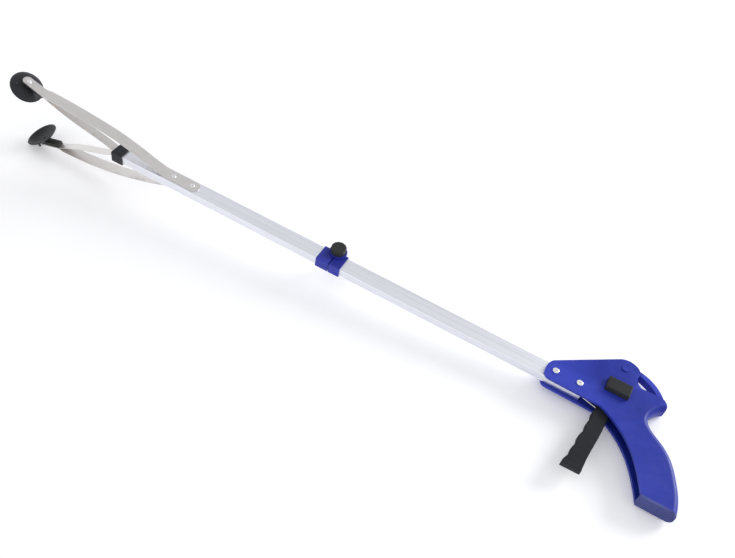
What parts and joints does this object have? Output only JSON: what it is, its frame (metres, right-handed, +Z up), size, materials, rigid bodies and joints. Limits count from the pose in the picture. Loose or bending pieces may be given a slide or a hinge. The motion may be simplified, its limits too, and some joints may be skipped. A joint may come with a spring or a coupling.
{
  "type": "folding reaching aid",
  "caption": "Folding reaching aid with a blue trigger grip, an aluminium tube with a fold joint and a clamp knob, and two sprung strip jaws that carry black suction cups.",
  "frame": {"origin": "centre of the bottom of the whole tool's box, lying on its side", "axes": "+X along the tube from the jaws towards the grip, +Y towards the top of the tool in use, +Z up, across the tool, the way the jaws open"},
  "size_m": [0.8016, 0.1396, 0.0871],
  "materials": {
    "aluminium_tube": "satin, finely ribbed lengthwise",
    "blue_plastic": "semi-gloss moulded",
    "blue_plastic_butt": "fine moulded texture",
    "collar_plastic": "semi-gloss moulded",
    "black_plastic": "satin moulded",
    "black_button_plastic": "satin moulded",
    "knob_plastic": "satin moulded",
    "cap_plastic": "semi-gloss moulded",
    "holder_plastic": "satin moulded",
    "cup_rubber": "soft matt rubber",
    "spring_steel": "rolled satin",
    "rivet_steel": "bright",
    "wire_steel": "drawn wire"
  },
  "bodies": {
    "grip": {"rear_tube": "aluminium_tube", "handle_shell_near": "blue_plastic", "handle_shell_far": "blue_plastic", "grip_end_plate": "blue_plastic_butt", "handle_rivets": "rivet_steel", "trigger_pin": "rivet_steel", "rear_collar": "collar_plastic", "clamp_nut": "rivet_steel"},
    "trigger": {"trigger": "black_plastic"},
    "lock": {"lock_button": "black_button_plastic"},
    "wire": {"pull_wire": "wire_steel", "wire_ball": "wire_steel"},
    "front": {"front_tube": "aluminium_tube", "front_collar": "collar_plastic", "front_cap": "cap_plastic", "strip_rivets": "rivet_steel"},
    "knob": {"clamp_knob": "knob_plastic", "clamp_stud": "rivet_steel"},
    "draw": {"draw_yoke": "wire_steel", "inner_strip_tails": "spring_steel"},
    "jaw_upper": {"outer_strip_upper": "spring_steel", "inner_strip_upper": "spring_steel", "cup_holder_upper": "holder_plastic", "suction_cup_upper": "cup_rubber", "cup_rivet_upper": "rivet_steel"},
    "jaw_lower": {"outer_strip_lower": "spring_steel", "inner_strip_lower": "spring_steel", "cup_holder_lower": "holder_plastic", "suction_cup_lower": "cup_rubber", "cup_rivet_lower": "rivet_steel"}
  },
  "joints": [
    {"name": "trigger_squeeze", "type": "hinge", "parent": "grip", "child": "trigger", "pos_m": [0.31568, 0.05838, 0.04766], "axis": [0, 0, 1], "range_deg": [0, 24], "stiffness_Nm_per_rad": 1.5, "springref_deg": -2.86},
    {"name": "lock_press", "type": "slide", "parent": "grip", "child": "lock", "axis": [0, 0, -1], "range_m": [0, 0.0027]},
    {"name": "wire_pull", "type": "slide", "parent": "grip", "child": "wire", "axis": [1, 0, 0], "range_m": [0, 0.0229]},
    {"name": "fold", "type": "hinge", "parent": "grip", "child": "front", "pos_m": [0.00968, 0.02598, 0.04766], "axis": [0, 0, -1], "range_deg": [0, 171], "deforming": ["pull_wire"]},
    {"name": "knob_turn", "type": "hinge", "parent": "grip", "child": "knob", "pos_m": [0.00968, 0.02598, 0.05577], "axis": [0, 0, 1], "range_deg": [0, 540]},
    {"name": "draw_slide", "type": "slide", "parent": "front", "child": "draw", "axis": [1, 0, 0], "range_m": [0, 0.0229]},
    {"name": "jaw_close_upper", "type": "hinge", "parent": "front", "child": "jaw_upper", "pos_m": [-0.19882, 0.01618, 0.05307], "axis": [0, -1, 0], "range_deg": [0, 6.61], "deforming": ["outer_strip_upper", "inner_strip_upper"]},
    {"name": "jaw_close_lower", "type": "hinge", "parent": "front", "child": "jaw_lower", "pos_m": [-0.19282, 0.01618, 0.04226], "axis": [0, 1, 0], "range_deg": [0, 6.61], "deforming": ["outer_strip_lower", "inner_strip_lower"]}
  ],
  "couplings": [
    {"joint": "wire_pull", "follows": "trigger_squeeze", "m_per_rad": 0.05443},
    {"joint": "draw_slide", "follows": "trigger_squeeze", "m_per_rad": 0.05443},
    {"joint": "jaw_close_upper", "follows": "trigger_squeeze", "ratio": 0.275},
    {"joint": "jaw_close_lower", "follows": "trigger_squeeze", "ratio": 0.275}
  ]
}
